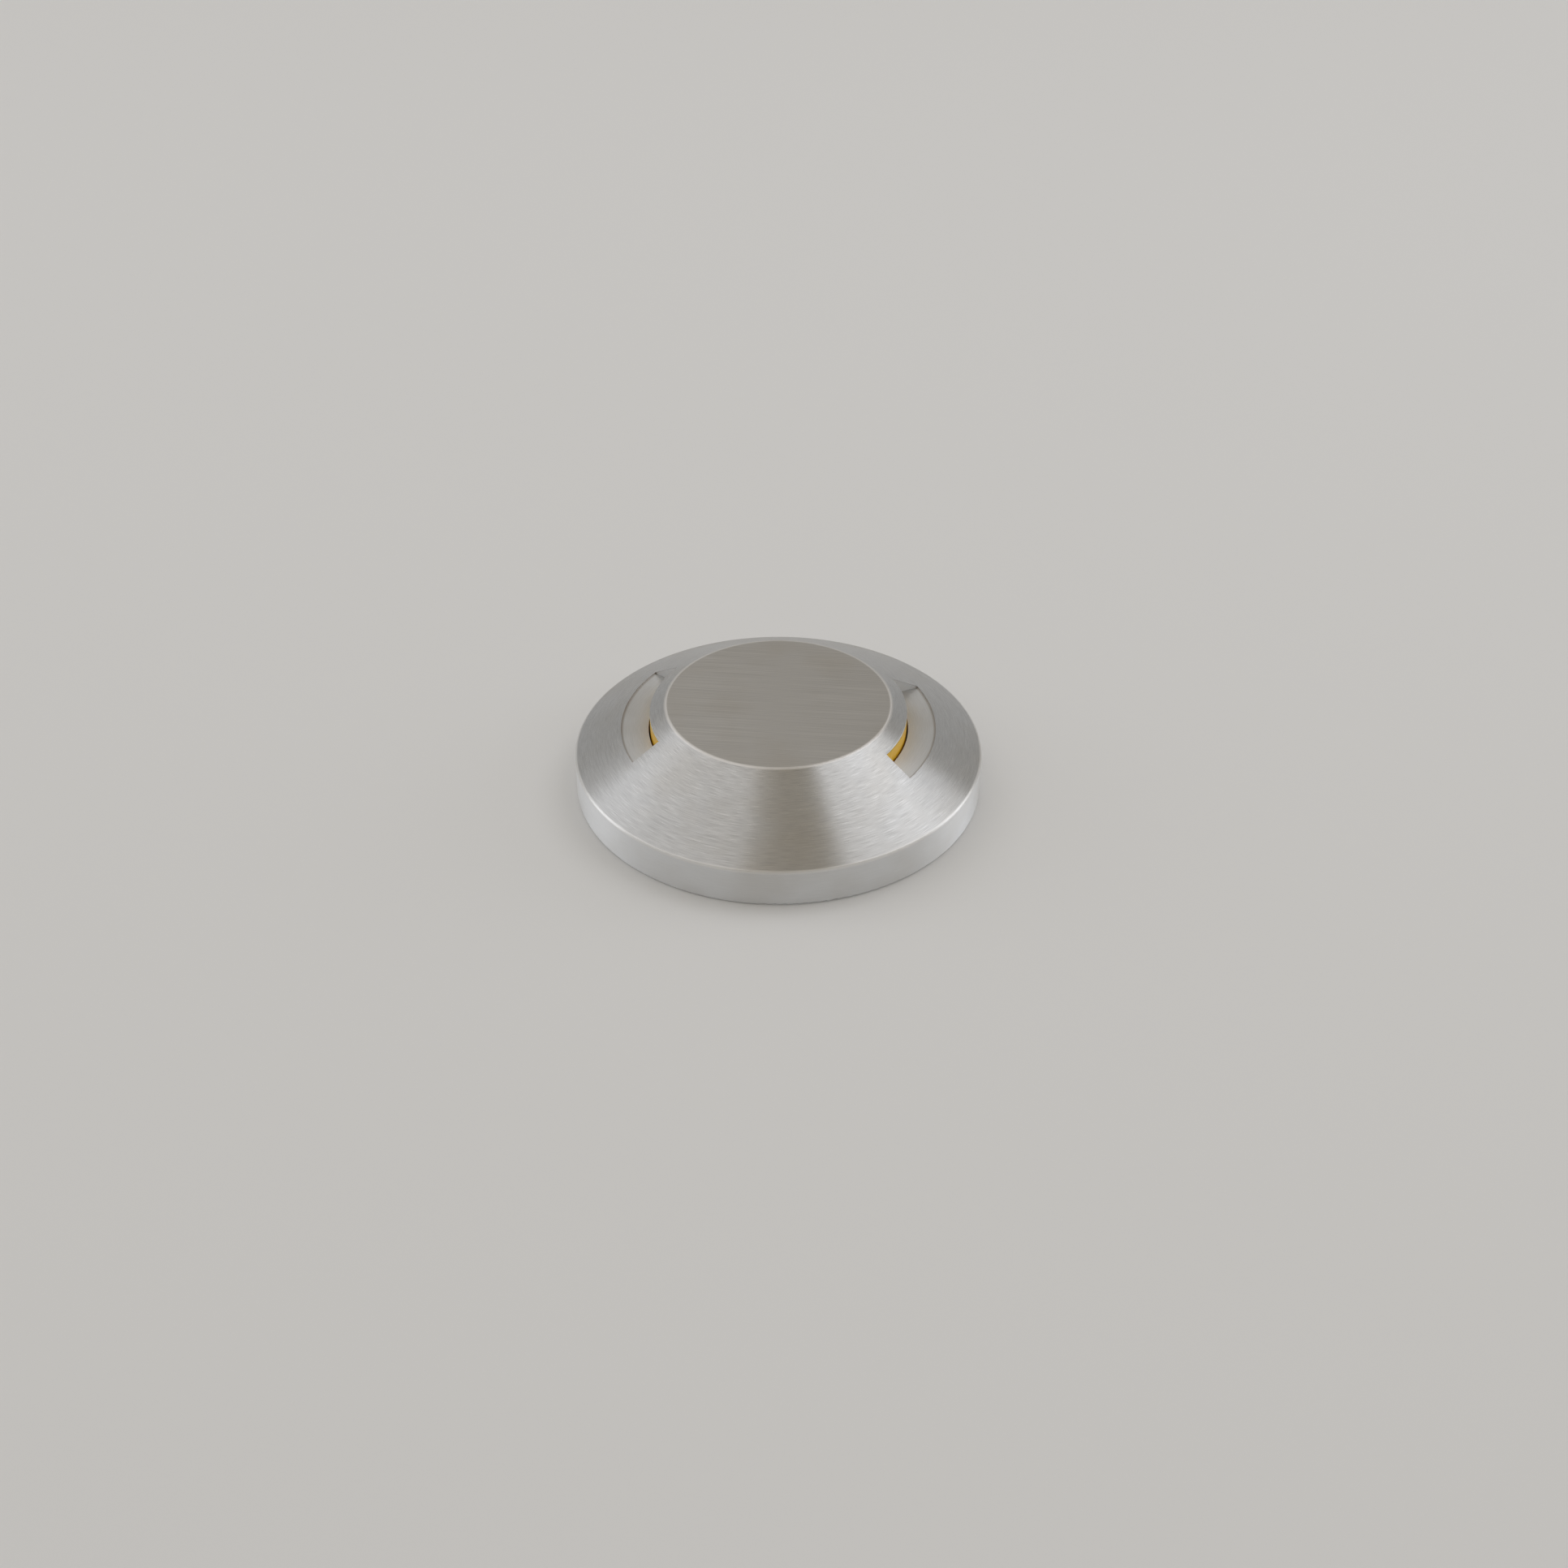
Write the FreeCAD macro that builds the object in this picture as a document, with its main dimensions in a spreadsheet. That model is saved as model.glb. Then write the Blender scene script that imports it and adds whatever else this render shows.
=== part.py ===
"""Two-way path indicator light for flush mounting in paving or decking.

A bevelled steel cap stands on the ground. Two windows in the bevel throw
light to the left and the right. Under the cap hangs a sealed can with the
lamp's electronics, which drops into a plastic sleeve set in the ground.

Millimetres and degrees. The origin is on the lamp's axis at ground level,
+Z is up and the windows face +X and -X.
"""
import FreeCAD, Part
import math
import os
import re
import Sketcher
from FreeCAD import Placement, Rotation, Vector

PAIR = "2"
TINY = 1e-4

SIZES = {
    # Stack of the lamp from the ground up
    "gasket_thickness": 0.8,
    "flange_thickness": 3.0,
    "carrier_thickness": 2.0,
    "light_height": 6.1,
    # Bezel cap
    "bevel_angle": 30.65,
    "window_height": 2.3,
    "window_lip": 0.44,
    "window_span": 61.2,
    "window_wall": 1.2,
    "recess_shoulder": 0.2,
    "roof_margin": 2.3,
    "skirt_wall": 3.85,
    "top_edge_round": 0.8,
    "skirt_edge_round": 0.4,
    # Clearances
    "fit_gap": 0.15,
    "key_gap": 0.25,
    "key_side_angle": 0.5,
    "thread_gap": 0.03,
    "screw_clearance": 0.15,
    "tip_room": 0.4,
    # Housing can
    "board_gap": 0.8,
    "can_wall": 2.8,
    "can_floor": 3.0,
    "flange_width": 8.0,
    "ledge_width": 2.25,
    "wiring_room": 11.7,
    # Lens ring and its seals
    "lens_wall": 2.55,
    "lens_headroom": 0.1,
    "seal_section": 1.0,
    "seal_side_room": 0.25,
    "seal_gap": 0.03,
    # Rubber rings that grip the sleeve
    "grip_section": 2.6,
    "grip_side_room": 0.2,
    "grip_gap": 0.25,
    "grip_upper_depth": 9.0,
    "grip_pitch": 13.0,
    # Screws that hold the cap to the can
    "cap_screw_radius": 1.5,
    "cap_screw_head_radius": 2.8,
    "cap_screw_sink": 0.15,
    "cap_screw_grip": 4.0,
    "cap_screw_socket": 2.0,
    "cap_screw_socket_depth": 1.1,
    "cap_screw_angle": 45.0,
    "cap_screw_count": 4,
    # Light source
    "pad_thickness": 0.3,
    "post_gap": 2.7,
    "post_headroom": 0.4,
    "led_board_thickness": 1.0,
    "led_board_margin": 0.1,
    "led_board_end": 0.7,
    "led_count": 4,
    "led_pitch": 3.9,
    "led_length": 3.0,
    "led_height": 1.4,
    "led_depth": 0.8,
    "led_edge": 0.15,
    "led_rim": 0.25,
    "led_well_depth": 0.2,
    "board_screw_radius": 0.8,
    "board_screw_head_radius": 1.1,
    "board_screw_head_height": 0.8,
    "board_screw_grip": 3.0,
    "board_screw_inset": 2.0,
    "board_screw_rise": 1.3,
    # Small screws and spacers of the carrier
    "small_screw_radius": 1.25,
    "small_head_radius": 2.25,
    "small_head_height": 1.7,
    "post_screw_grip": 3.6,
    "head_room": 0.65,
    "standoff_count": 3,
    "standoff_angle": 90.0,
    "standoff_across": 4.5,
    "standoff_length": 8.0,
    "standoff_inset": 2.4,
    "stud_recess": 0.2,
    "driver_screw_grip": 4.0,
    # Leads from the driver board to the light source
    "lead_radius": 0.5,
    "lead_spacing": 1.2,
    "lead_bend": 1.4,
    "lead_room": 0.3,
    "lens_room": 0.8,
    "grommet_bore": 1.2,
    "grommet_neck": 2.0,
    "grommet_lip_radius": 2.6,
    "grommet_lip": 0.6,
    # Driver board and what hangs from it
    "driver_board_radius": 14.4,
    "driver_board_thickness": 1.6,
    "capacitor_radius": 4.0,
    "capacitor_height": 11.0,
    "capacitor_crimp": 0.4,
    "capacitor_crimp_height": 1.2,
    "capacitor_x": -6.0,
    "capacitor_y": 5.0,
    "choke_width": 8.0,
    "choke_corner": 1.2,
    "choke_height": 4.5,
    "choke_core_radius": 2.8,
    "choke_core_sink": 0.5,
    "choke_x": 5.5,
    "choke_y": 5.0,
    "rectifier_width": 3.8,
    "rectifier_length": 4.7,
    "rectifier_x": -4.5,
    "rectifier_y": -2.2,
    "chip_width": 3.9,
    "chip_length": 4.9,
    "chip_leg_pitch": 1.27,
    "chip_x": 5.2,
    "chip_y": -2.1,
    "package_height": 1.5,
    "leg_reach": 1.1,
    "leg_width": 0.45,
    "leg_thickness": 0.25,
    "terminal_length": 10.0,
    "terminal_width": 7.5,
    "terminal_height": 9.5,
    "terminal_y": -9.0,
    "terminal_pitch": 5.0,
    "terminal_entry_radius": 1.6,
    "terminal_entry_depth": 5.0,
    "terminal_screw_radius": 1.4,
    "terminal_screw_drop": 3.4,
    "terminal_screw_sink": 1.0,
    "terminal_screw_length": 2.2,
    # Cable gland in the can's floor
    "gland_thread_radius": 6.0,
    "gland_bore": 3.5,
    "gland_across": 15.0,
    "gland_hex_height": 4.0,
    "gland_washer_thickness": 1.0,
    "gland_washer_width": 1.8,
    "gland_locknut_height": 3.5,
    "gland_stub_end": 1.0,
    "gland_collar_radius": 5.6,
    "gland_collar_length": 8.0,
    "gland_insert_wall": 1.5,
    "gland_insert_setback": 1.0,
    "cable_radius": 3.1,
    "cable_mouth_gap": 0.3,
    "dome_gap": 0.4,
    "dome_hex_height": 6.0,
    "dome_skin": 1.5,
    "dome_nose_length": 3.0,
    "dome_nose_width": 1.2,
    "dome_floor": 2.6,
    # Mounting sleeve
    "sleeve_gap": 1.3,
    "sleeve_wall": 1.8,
    "lead_in": 0.6,
    "sleeve_depth": 58.0,
    "gasket_inset": 0.1,
    "grout_depth": 0.6,
    "grout_width": 3.0,
    "grout_start": 12.0,
    "grout_pitch": 14.0,
    "grout_count": 3,
    "notch_width": 10.0,
    "notch_height": 12.0,
}

DERIVED = {
    # Levels of the lamp's stack
    "flange_top": "gasket_thickness + flange_thickness",
    "carrier_top": "flange_top + carrier_thickness",
    "chamber_top": "carrier_top + light_height",
    "lens_top": "chamber_top - lens_headroom",
    "window_floor": "chamber_top - window_height",
    # Radii from the driver board outwards
    "can_bore": "driver_board_radius + board_gap",
    "can_radius": "can_bore + can_wall",
    "flange_radius": "can_radius + flange_width",
    "seat_radius": "flange_radius + fit_gap",
    "cap_radius": "seat_radius + skirt_wall",
    "carrier_radius": "can_bore + ledge_width",
    "chamber_radius": "carrier_radius + fit_gap",
    "window_radius": "chamber_radius + window_wall",
    "key_radius": "window_radius + key_gap",
    "top_radius": "window_radius - roof_margin",
    "lens_inner": "carrier_radius - lens_wall",
    # The bevel runs just over the windows
    "bevel_at_window": "chamber_top + window_lip",
    "skirt_height": "bevel_at_window - (cap_radius - window_radius) * tan(bevel_angle)",
    "cap_height": "bevel_at_window + roof_margin * tan(bevel_angle)",
    "recess_reach": "window_radius + (bevel_at_window - window_floor - recess_shoulder) / tan(bevel_angle)",
    # Seals
    "seal_depth": "seal_section + 2 * seal_gap",
    "seal_half_width": "seal_section / 2 + seal_side_room",
    "lens_seal_radius": "carrier_radius - lens_wall / 2",
    "carrier_seal_radius": "can_bore + ledge_width / 2",
    "grip_floor": "can_radius + sleeve_gap - grip_gap - grip_section - seal_gap",
    "grip_half_width": "grip_section / 2 + grip_side_room",
    # Cap screws
    "cap_screw_circle": "can_radius + flange_width / 2",
    "cap_head_level": "gasket_thickness + cap_screw_sink",
    "cap_head_top": "cap_head_level + cap_screw_head_radius - cap_screw_radius",
    "cap_screw_top": "flange_top + cap_screw_grip",
    # Light source from the lens inwards
    "lead_x": "lens_inner - lens_room - grommet_lip_radius",
    "board_face": "lead_x - grommet_lip_radius - lead_room",
    "post_half_width": "board_face - led_board_thickness",
    "post_radius": "lens_inner - post_gap",
    "post_bottom": "carrier_top + pad_thickness",
    "post_top": "chamber_top - post_headroom",
    "led_board_low": "post_bottom + led_board_margin",
    "led_board_high": "post_top - led_board_margin",
    "led_board_half": "led_count * led_pitch / 2 + led_board_end",
    "led_level": "led_board_high - led_edge - led_height / 2",
    "led_first": "-(led_count - 1) * led_pitch / 2",
    "board_screw_y": "led_board_half - board_screw_inset",
    "board_screw_level": "led_board_low + board_screw_rise",
    "standoff_circle": "driver_board_radius - standoff_inset",
    "standoff_corner": "standoff_across / sqrt(3)",
    "post_screw_y": "standoff_circle - standoff_corner - small_head_radius - head_room",
    "post_screw_top": "post_bottom + post_screw_grip",
    # Driver board and can below the flange
    "driver_board_top": "flange_top - standoff_length",
    "driver_board_under": "driver_board_top - driver_board_thickness",
    "can_floor_level": "driver_board_under - terminal_height - wiring_room",
    "can_bottom": "can_floor_level - can_floor",
    "terminal_low": "-terminal_height",
    # Gland below the can
    "gland_hole": "gland_thread_radius + fit_gap",
    "hex_top": "can_bottom - gland_washer_thickness",
    "hex_bottom": "hex_top - gland_hex_height",
    "stub_top": "can_floor_level + gland_locknut_height + gland_stub_end",
    "collar_end": "hex_bottom - gland_collar_length",
    "insert_radius": "cable_radius + gland_insert_wall",
    "insert_top": "hex_bottom - gland_insert_setback",
    "dome_top": "hex_bottom - dome_gap",
    "dome_bore": "gland_collar_radius + fit_gap",
    "dome_radius": "dome_bore + dome_skin",
    "dome_shelf": "collar_end - dome_gap",
    "dome_end": "dome_shelf - dome_floor",
    "cable_mouth": "cable_radius + cable_mouth_gap",
    # Sleeve in the ground
    "sleeve_bore": "can_radius + sleeve_gap",
    "sleeve_radius": "sleeve_bore + sleeve_wall",
    "sleeve_bottom": "-sleeve_depth",
    "notch_spring": "sleeve_bottom + notch_height - notch_width / 2",
    "gasket_inner": "sleeve_bore + gasket_inset",
    "gasket_outer": "flange_radius - gasket_inset",
}

doc = FreeCAD.newDocument("path_indicator_light")
sheet = doc.addObject("Spreadsheet::Sheet", "Sizes")


def fill_sheet():
    """Put the driving sizes in the sheet, each with its alias."""
    for row, (alias, value) in enumerate(SIZES.items(), 1):
        sheet.set(f"A{row}", str(value))
        sheet.setAlias(f"A{row}", alias)
    doc.recompute()


def formula(text):
    """Spell an expression out in cells of the sheet."""
    def spell(match):
        word = match.group()
        if word in DERIVED:
            return f"({formula(DERIVED[word])})"
        return f"Sizes.{word}" if word in SIZES else word
    return re.sub(r"[a-z_]+", spell, text)


def number(text):
    """Value of an expression with the sizes in the sheet."""
    value = sheet.evalExpression(formula(text))
    return float(getattr(value, "Value", value))


def new_body(label):
    """Empty body that becomes one piece of the assembly."""
    body = doc.addObject("PartDesign::Body", label)
    body.Label = label
    return body


def datum(body, role):
    """Plane or axis of the body's own origin."""
    return next(item for item in body.Origin.OriginFeatures if item.Role == role)


def new_sketch(body, plane="XY_Plane", lift="0", turn="0"):
    """Sketch on an origin plane, lifted along its normal or turned about its own Y axis."""
    sketch = body.newObject("Sketcher::SketchObject", f"{body.Name}_sketch")
    sketch.AttachmentSupport = [(datum(body, plane), "")]
    sketch.MapMode = "FlatFace"
    spin = Rotation(Vector(0, 1, 0), number(turn))
    sketch.AttachmentOffset = Placement(Vector(0, 0, number(lift)), spin)
    if lift != "0":
        sketch.setExpression("AttachmentOffset.Base.z", formula(lift))
    if turn != "0":
        sketch.setExpression("AttachmentOffset.Rotation.Angle", formula(turn))
    return sketch


def pin_point(sketch, item, end, x, y):
    """Hold one point of a sketch at bound distances from the sketch's origin."""
    for kind, place in (("DistanceX", x), ("DistanceY", y)):
        rule = sketch.addConstraint(Sketcher.Constraint(kind, -1, 1, item, end, number(place)))
        sketch.setExpression(f"Constraints[{rule}]", formula(place))


def draw_loop(sketch, corners):
    """Closed outline through the corners."""
    points = [Vector(number(x), number(y), 0) for x, y in corners]
    count = len(points)
    lines = [sketch.addGeometry(Part.LineSegment(points[i], points[(i + 1) % count]), False)
             for i in range(count)]
    for i in range(count):
        sketch.addConstraint(Sketcher.Constraint("Coincident", lines[i], 2, lines[(i + 1) % count], 1))
    for line, (x, y) in zip(lines, corners):
        pin_point(sketch, line, 1, x, y)


def draw_circle(sketch, x, y, radius):
    """Circle with a bound centre and radius."""
    disc = Part.Circle(Vector(number(x), number(y), 0), Vector(0, 0, 1), number(radius))
    item = sketch.addGeometry(disc, False)
    pin_point(sketch, item, 3, x, y)
    rule = sketch.addConstraint(Sketcher.Constraint("Radius", item, number(radius)))
    sketch.setExpression(f"Constraints[{rule}]", formula(radius))


def rectangle(left, right, low, high):
    """Corners of a rectangle."""
    return [(left, low), (right, low), (right, high), (left, high)]


def hexagon(x, y, across):
    """Corners of a hexagon with the given width across its flats."""
    corner = f"({across}) / sqrt(3)"
    steps = ((1, 0), (0.5, 0.5), (-0.5, 0.5), (-1, 0), (-0.5, -0.5), (0.5, -0.5))
    return [(f"({x}) + {along} * {corner}", f"({y}) + {beside} * ({across})") for along, beside in steps]


def turned(body, corners, axis="0", turn="0", sweep="360", cut=False):
    """Turn an outline of radii and heights about an upright axis, to add or to cut.

    The axis stands at the given radius from the lamp's axis and angle from +X.
    A part turn is centred on the outline's own plane.
    """
    sketch = new_sketch(body, "XZ_Plane", turn=turn)
    draw_loop(sketch, [(f"({axis}) + ({radius})", height) for radius, height in corners])
    spindle = "V_Axis"
    if axis != "0":
        foot = Vector(number(axis), 0, 0)
        item = sketch.addGeometry(Part.LineSegment(foot, foot + Vector(0, 1, 0)), True)
        pin_point(sketch, item, 1, axis, "0")
        pin_point(sketch, item, 2, axis, "1")
        spindle = "Axis0"
    kind = "Groove" if cut else "Revolution"
    feature = body.newObject(f"PartDesign::{kind}", f"{body.Name}_turn")
    feature.Profile = sketch
    feature.ReferenceAxis = (sketch, [spindle])
    feature.setExpression("Angle", formula(sweep))
    feature.Midplane = sweep != "360"
    return feature


def grown(body, low, high, loops=(), circles=(), plane="XY_Plane"):
    """Raise outlines from one level to another; inner ones stay open."""
    sketch = new_sketch(body, plane, lift=low)
    for corners in loops:
        draw_loop(sketch, corners)
    for x, y, radius in circles:
        draw_circle(sketch, x, y, radius)
    pad = body.newObject("PartDesign::Pad", f"{body.Name}_pad")
    pad.Profile = sketch
    pad.setExpression("Length", formula(f"({high}) - ({low})"))
    return pad


def sunk(body, low, high, loops=(), circles=(), plane="XY_Plane"):
    """Cut outlines away between two levels."""
    sketch = new_sketch(body, plane, lift=high)
    for corners in loops:
        draw_loop(sketch, corners)
    for x, y, radius in circles:
        draw_circle(sketch, x, y, radius)
    pocket = body.newObject("PartDesign::Pocket", f"{body.Name}_pocket")
    pocket.Profile = sketch
    pocket.setExpression("Length", formula(f"({high}) - ({low})"))
    return pocket


def ringed(body, features, count):
    """Repeat features evenly round the lamp's axis."""
    pattern = body.newObject("PartDesign::PolarPattern", f"{body.Name}_ring")
    pattern.Originals = features
    pattern.Axis = (datum(body, "Z_Axis"), [""])
    pattern.Angle = 360
    pattern.setExpression("Occurrences", formula(count))
    body.Tip = pattern


def lined(body, features, axis, count, pitch, backwards=False):
    """Repeat features at a steady pitch along an origin axis."""
    pattern = body.newObject("PartDesign::LinearPattern", f"{body.Name}_row")
    pattern.Originals = features
    pattern.Direction = (datum(body, axis), [""])
    pattern.Reversed = backwards
    pattern.setExpression("Length", formula(f"(({count}) - 1) * ({pitch})"))
    pattern.setExpression("Occurrences", formula(count))
    body.Tip = pattern


def rounded(body, radius, rims):
    """Round the rims that run at the given radii and heights."""
    doc.recompute()
    base = body.Tip
    wanted = [(number(reach), number(height)) for reach, height in rims]
    names = []
    for index, edge in enumerate(base.Shape.Edges, 1):
        ends = [(math.hypot(end.X, end.Y), end.Z) for end in edge.Vertexes]
        if any(all(math.dist(end, rim) < TINY for end in ends) for rim in wanted):
            names.append(f"Edge{index}")
    fillet = body.newObject("PartDesign::Fillet", f"{body.Name}_round")
    fillet.Base = (base, names)
    fillet.setExpression("Radius", formula(radius))


def placed(body, x, y, z):
    """Bind a piece's place."""
    for axis, place in zip("xyz", (x, y, z)):
        body.setExpression(f"Placement.Base.{axis}", formula(place))


def seal_ring(label, radius, section, level):
    """Round rubber ring lying flat at a level."""
    ring = doc.addObject("Part::Torus", label)
    ring.Label = label
    ring.setExpression("Radius1", formula(radius))
    ring.setExpression("Radius2", formula(f"({section}) / 2"))
    ring.setExpression("Placement.Base.z", formula(level))


def make_sleeve():
    """Plastic sleeve set in the ground, with grout grooves and two cable arches."""
    sleeve = new_body("mounting_sleeve")
    turned(sleeve, [
        ("sleeve_bore", "sleeve_bottom"),
        ("sleeve_radius", "sleeve_bottom"),
        ("sleeve_radius", "0"),
        ("sleeve_bore + lead_in", "0"),
        ("sleeve_bore", "-lead_in"),
    ])
    groove = turned(sleeve, rectangle("sleeve_radius - grout_depth", "sleeve_radius",
                                      "-grout_start - grout_width", "-grout_start"), cut=True)
    lined(sleeve, [groove], "Z_Axis", "grout_count", "grout_pitch", backwards=True)
    half = "notch_width / 2"
    legs = rectangle(f"-{half}", half, "sleeve_bottom", "notch_spring")
    sunk(sleeve, "-sleeve_radius", "sleeve_radius", loops=[legs], plane="XZ_Plane")
    sunk(sleeve, "-sleeve_radius", "sleeve_radius", circles=[("0", "notch_spring", half)], plane="XZ_Plane")


def make_gasket():
    """Flat rubber ring between the flange and the ground."""
    gasket = new_body("ground_gasket")
    turned(gasket, rectangle("gasket_inner", "gasket_outer", "0", "gasket_thickness"))


def make_cap():
    """Turned cap with a bevel, two milled light windows and keyways for the lens.

    Each window's recess has a level floor, which stops at a low shoulder before
    it would run out through the bevel.
    """
    cap = new_body("bezel_cap")
    turned(cap, [
        ("seat_radius", "0"),
        ("cap_radius", "0"),
        ("cap_radius", "skirt_height"),
        ("top_radius", "cap_height"),
        ("0", "cap_height"),
        ("0", "chamber_top"),
        ("chamber_radius", "chamber_top"),
        ("chamber_radius", "flange_top"),
        ("seat_radius", "flange_top"),
    ])
    rounded(cap, "top_edge_round", [("top_radius", "cap_height")])
    rounded(cap, "skirt_edge_round", [("cap_radius", "skirt_height"), ("cap_radius", "0")])
    recess = turned(cap, rectangle("window_radius", "recess_reach", "window_floor", "cap_height"),
                    sweep="window_span", cut=True)
    keyway = turned(cap, rectangle("can_bore", "key_radius", "flange_top", "chamber_top"),
                    sweep="window_span", cut=True)
    ringed(cap, [recess, keyway], PAIR)
    hole = turned(cap, rectangle("0", "cap_screw_radius + thread_gap",
                                 "flange_top", "cap_screw_top + tip_room"),
                  axis="cap_screw_circle", turn="cap_screw_angle", cut=True)
    ringed(cap, [hole], "cap_screw_count")


def make_lens():
    """Amber ring with two pads that slide up the keyways and fill the windows."""
    lens = new_body("lens_ring")
    turned(lens, rectangle("lens_inner", "carrier_radius", "carrier_top", "lens_top"))
    turned(lens, rectangle("lens_seal_radius - seal_half_width", "lens_seal_radius + seal_half_width",
                           "lens_top - seal_depth + lens_headroom", "lens_top"), cut=True)
    turned(lens, rectangle("lens_seal_radius - seal_half_width", "lens_seal_radius + seal_half_width",
                           "carrier_top", "carrier_top + seal_depth"), cut=True)
    pad = turned(lens, rectangle("lens_seal_radius + seal_half_width", "window_radius",
                                 "carrier_top", "lens_top"),
                 sweep="window_span - 2 * key_side_angle")
    ringed(lens, [pad], PAIR)
    half = "seal_section / 2"
    seal_ring("lens_top_seal", "lens_seal_radius", "seal_section", f"chamber_top - seal_gap - {half}")
    seal_ring("lens_base_seal", "lens_seal_radius", "seal_section", f"carrier_top + seal_gap + {half}")
    seal_ring("carrier_seal", "carrier_seal_radius", "seal_section", f"flange_top - seal_gap - {half}")


def make_carrier():
    """Aluminium plate clamped under the lens, with bushed holes for the leads."""
    plate = new_body("carrier_plate")
    turned(plate, rectangle("0", "carrier_radius", "flange_top", "carrier_top"))
    passage = turned(plate, rectangle("0", "grommet_neck + seal_gap", "flange_top", "carrier_top"),
                     axis="lead_x", cut=True)
    ringed(plate, [passage], PAIR)
    screw_hole = turned(plate, rectangle("0", "small_screw_radius + screw_clearance",
                                         "flange_top", "carrier_top"),
                        axis="post_screw_y", turn="90", cut=True)
    ringed(plate, [screw_hole], PAIR)
    stud_hole = turned(plate, rectangle("0", "small_screw_radius + thread_gap", "flange_top", "carrier_top"),
                       axis="standoff_circle", turn="standoff_angle", cut=True)
    ringed(plate, [stud_hole], "standoff_count")
    grommets = new_body("wire_grommets")
    bush = turned(grommets, [
        ("grommet_bore", "flange_top - grommet_lip"),
        ("grommet_lip_radius", "flange_top - grommet_lip"),
        ("grommet_lip_radius", "flange_top"),
        ("grommet_neck", "flange_top"),
        ("grommet_neck", "carrier_top"),
        ("grommet_lip_radius", "carrier_top"),
        ("grommet_lip_radius", "carrier_top + grommet_lip"),
        ("grommet_bore", "carrier_top + grommet_lip"),
    ], axis="lead_x")
    ringed(grommets, [bush], PAIR)


def flat_sided_disc(label, low, high, hole, hole_top):
    """Round block with two flats that face the windows, and a pair of screw holes from below."""
    block = new_body(label)
    grown(block, low, high, circles=[("0", "0", "post_radius")])
    beyond = rectangle("post_half_width", "post_radius", "-post_radius", "post_radius")
    side = sunk(block, low, high, loops=[beyond])
    ringed(block, [side], PAIR)
    bore = turned(block, rectangle("0", hole, low, hole_top), axis="post_screw_y", turn="90", cut=True)
    ringed(block, [bore], PAIR)
    return block


def make_post():
    """Heat-sinking post that carries the light boards, on its thermal pad."""
    post = flat_sided_disc("led_post", "post_bottom", "post_top",
                           "small_screw_radius + thread_gap", "post_screw_top + tip_room")
    spots = [(place, "board_screw_level", "board_screw_radius + thread_gap")
             for place in ("board_screw_y", "-board_screw_y")]
    taps = sunk(post, "post_half_width - board_screw_grip - tip_room", "post_half_width",
                circles=spots, plane="YZ_Plane")
    ringed(post, [taps], PAIR)
    flat_sided_disc("thermal_pad", "carrier_top", "post_bottom",
                    "small_screw_radius + screw_clearance", "post_bottom")
    screws = new_body("post_screws")
    screw = turned(screws, [
        ("0", "flange_top - small_head_height"),
        ("small_head_radius", "flange_top - small_head_height"),
        ("small_head_radius", "flange_top"),
        ("small_screw_radius", "flange_top"),
        ("small_screw_radius", "post_screw_top"),
        ("0", "post_screw_top"),
    ], axis="post_screw_y", turn="90")
    ringed(screws, [screw], PAIR)


def make_light_board(side, angle):
    """One strip of light sources and its board, turned to face its window."""
    facing = Placement(Vector(), Rotation(Vector(0, 0, 1), angle))
    board = new_body(f"led_board_{side}")
    spots = [(place, "board_screw_level", "board_screw_radius + screw_clearance")
             for place in ("board_screw_y", "-board_screw_y")]
    grown(board, "post_half_width", "board_face",
          loops=[rectangle("-led_board_half", "led_board_half", "led_board_low", "led_board_high")],
          circles=spots, plane="YZ_Plane")
    board.Placement = facing
    leds = new_body(f"leds_{side}")
    left, right = "led_first - led_length / 2", "led_first + led_length / 2"
    low, high = "led_level - led_height / 2", "led_level + led_height / 2"
    package = grown(leds, "board_face", "board_face + led_depth",
                    loops=[rectangle(left, right, low, high)], plane="YZ_Plane")
    inside = rectangle(f"{left} + led_rim", f"{right} - led_rim", f"{low} + led_rim", f"{high} - led_rim")
    well = sunk(leds, "board_face + led_depth - led_well_depth", "board_face + led_depth",
                loops=[inside], plane="YZ_Plane")
    lined(leds, [package, well], "Y_Axis", "led_count", "led_pitch")
    leds.Placement = facing


def make_board_screws():
    """Small screws that clamp both light boards to the post."""
    screws = new_body("board_screws")
    places = ("board_screw_y", "-board_screw_y")
    shanks = grown(screws, "post_half_width - board_screw_grip", "board_face",
                   circles=[(place, "board_screw_level", "board_screw_radius") for place in places],
                   plane="YZ_Plane")
    heads = grown(screws, "board_face", "board_face + board_screw_head_height",
                  circles=[(place, "board_screw_level", "board_screw_head_radius") for place in places],
                  plane="YZ_Plane")
    ringed(screws, [shanks, heads], PAIR)


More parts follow.
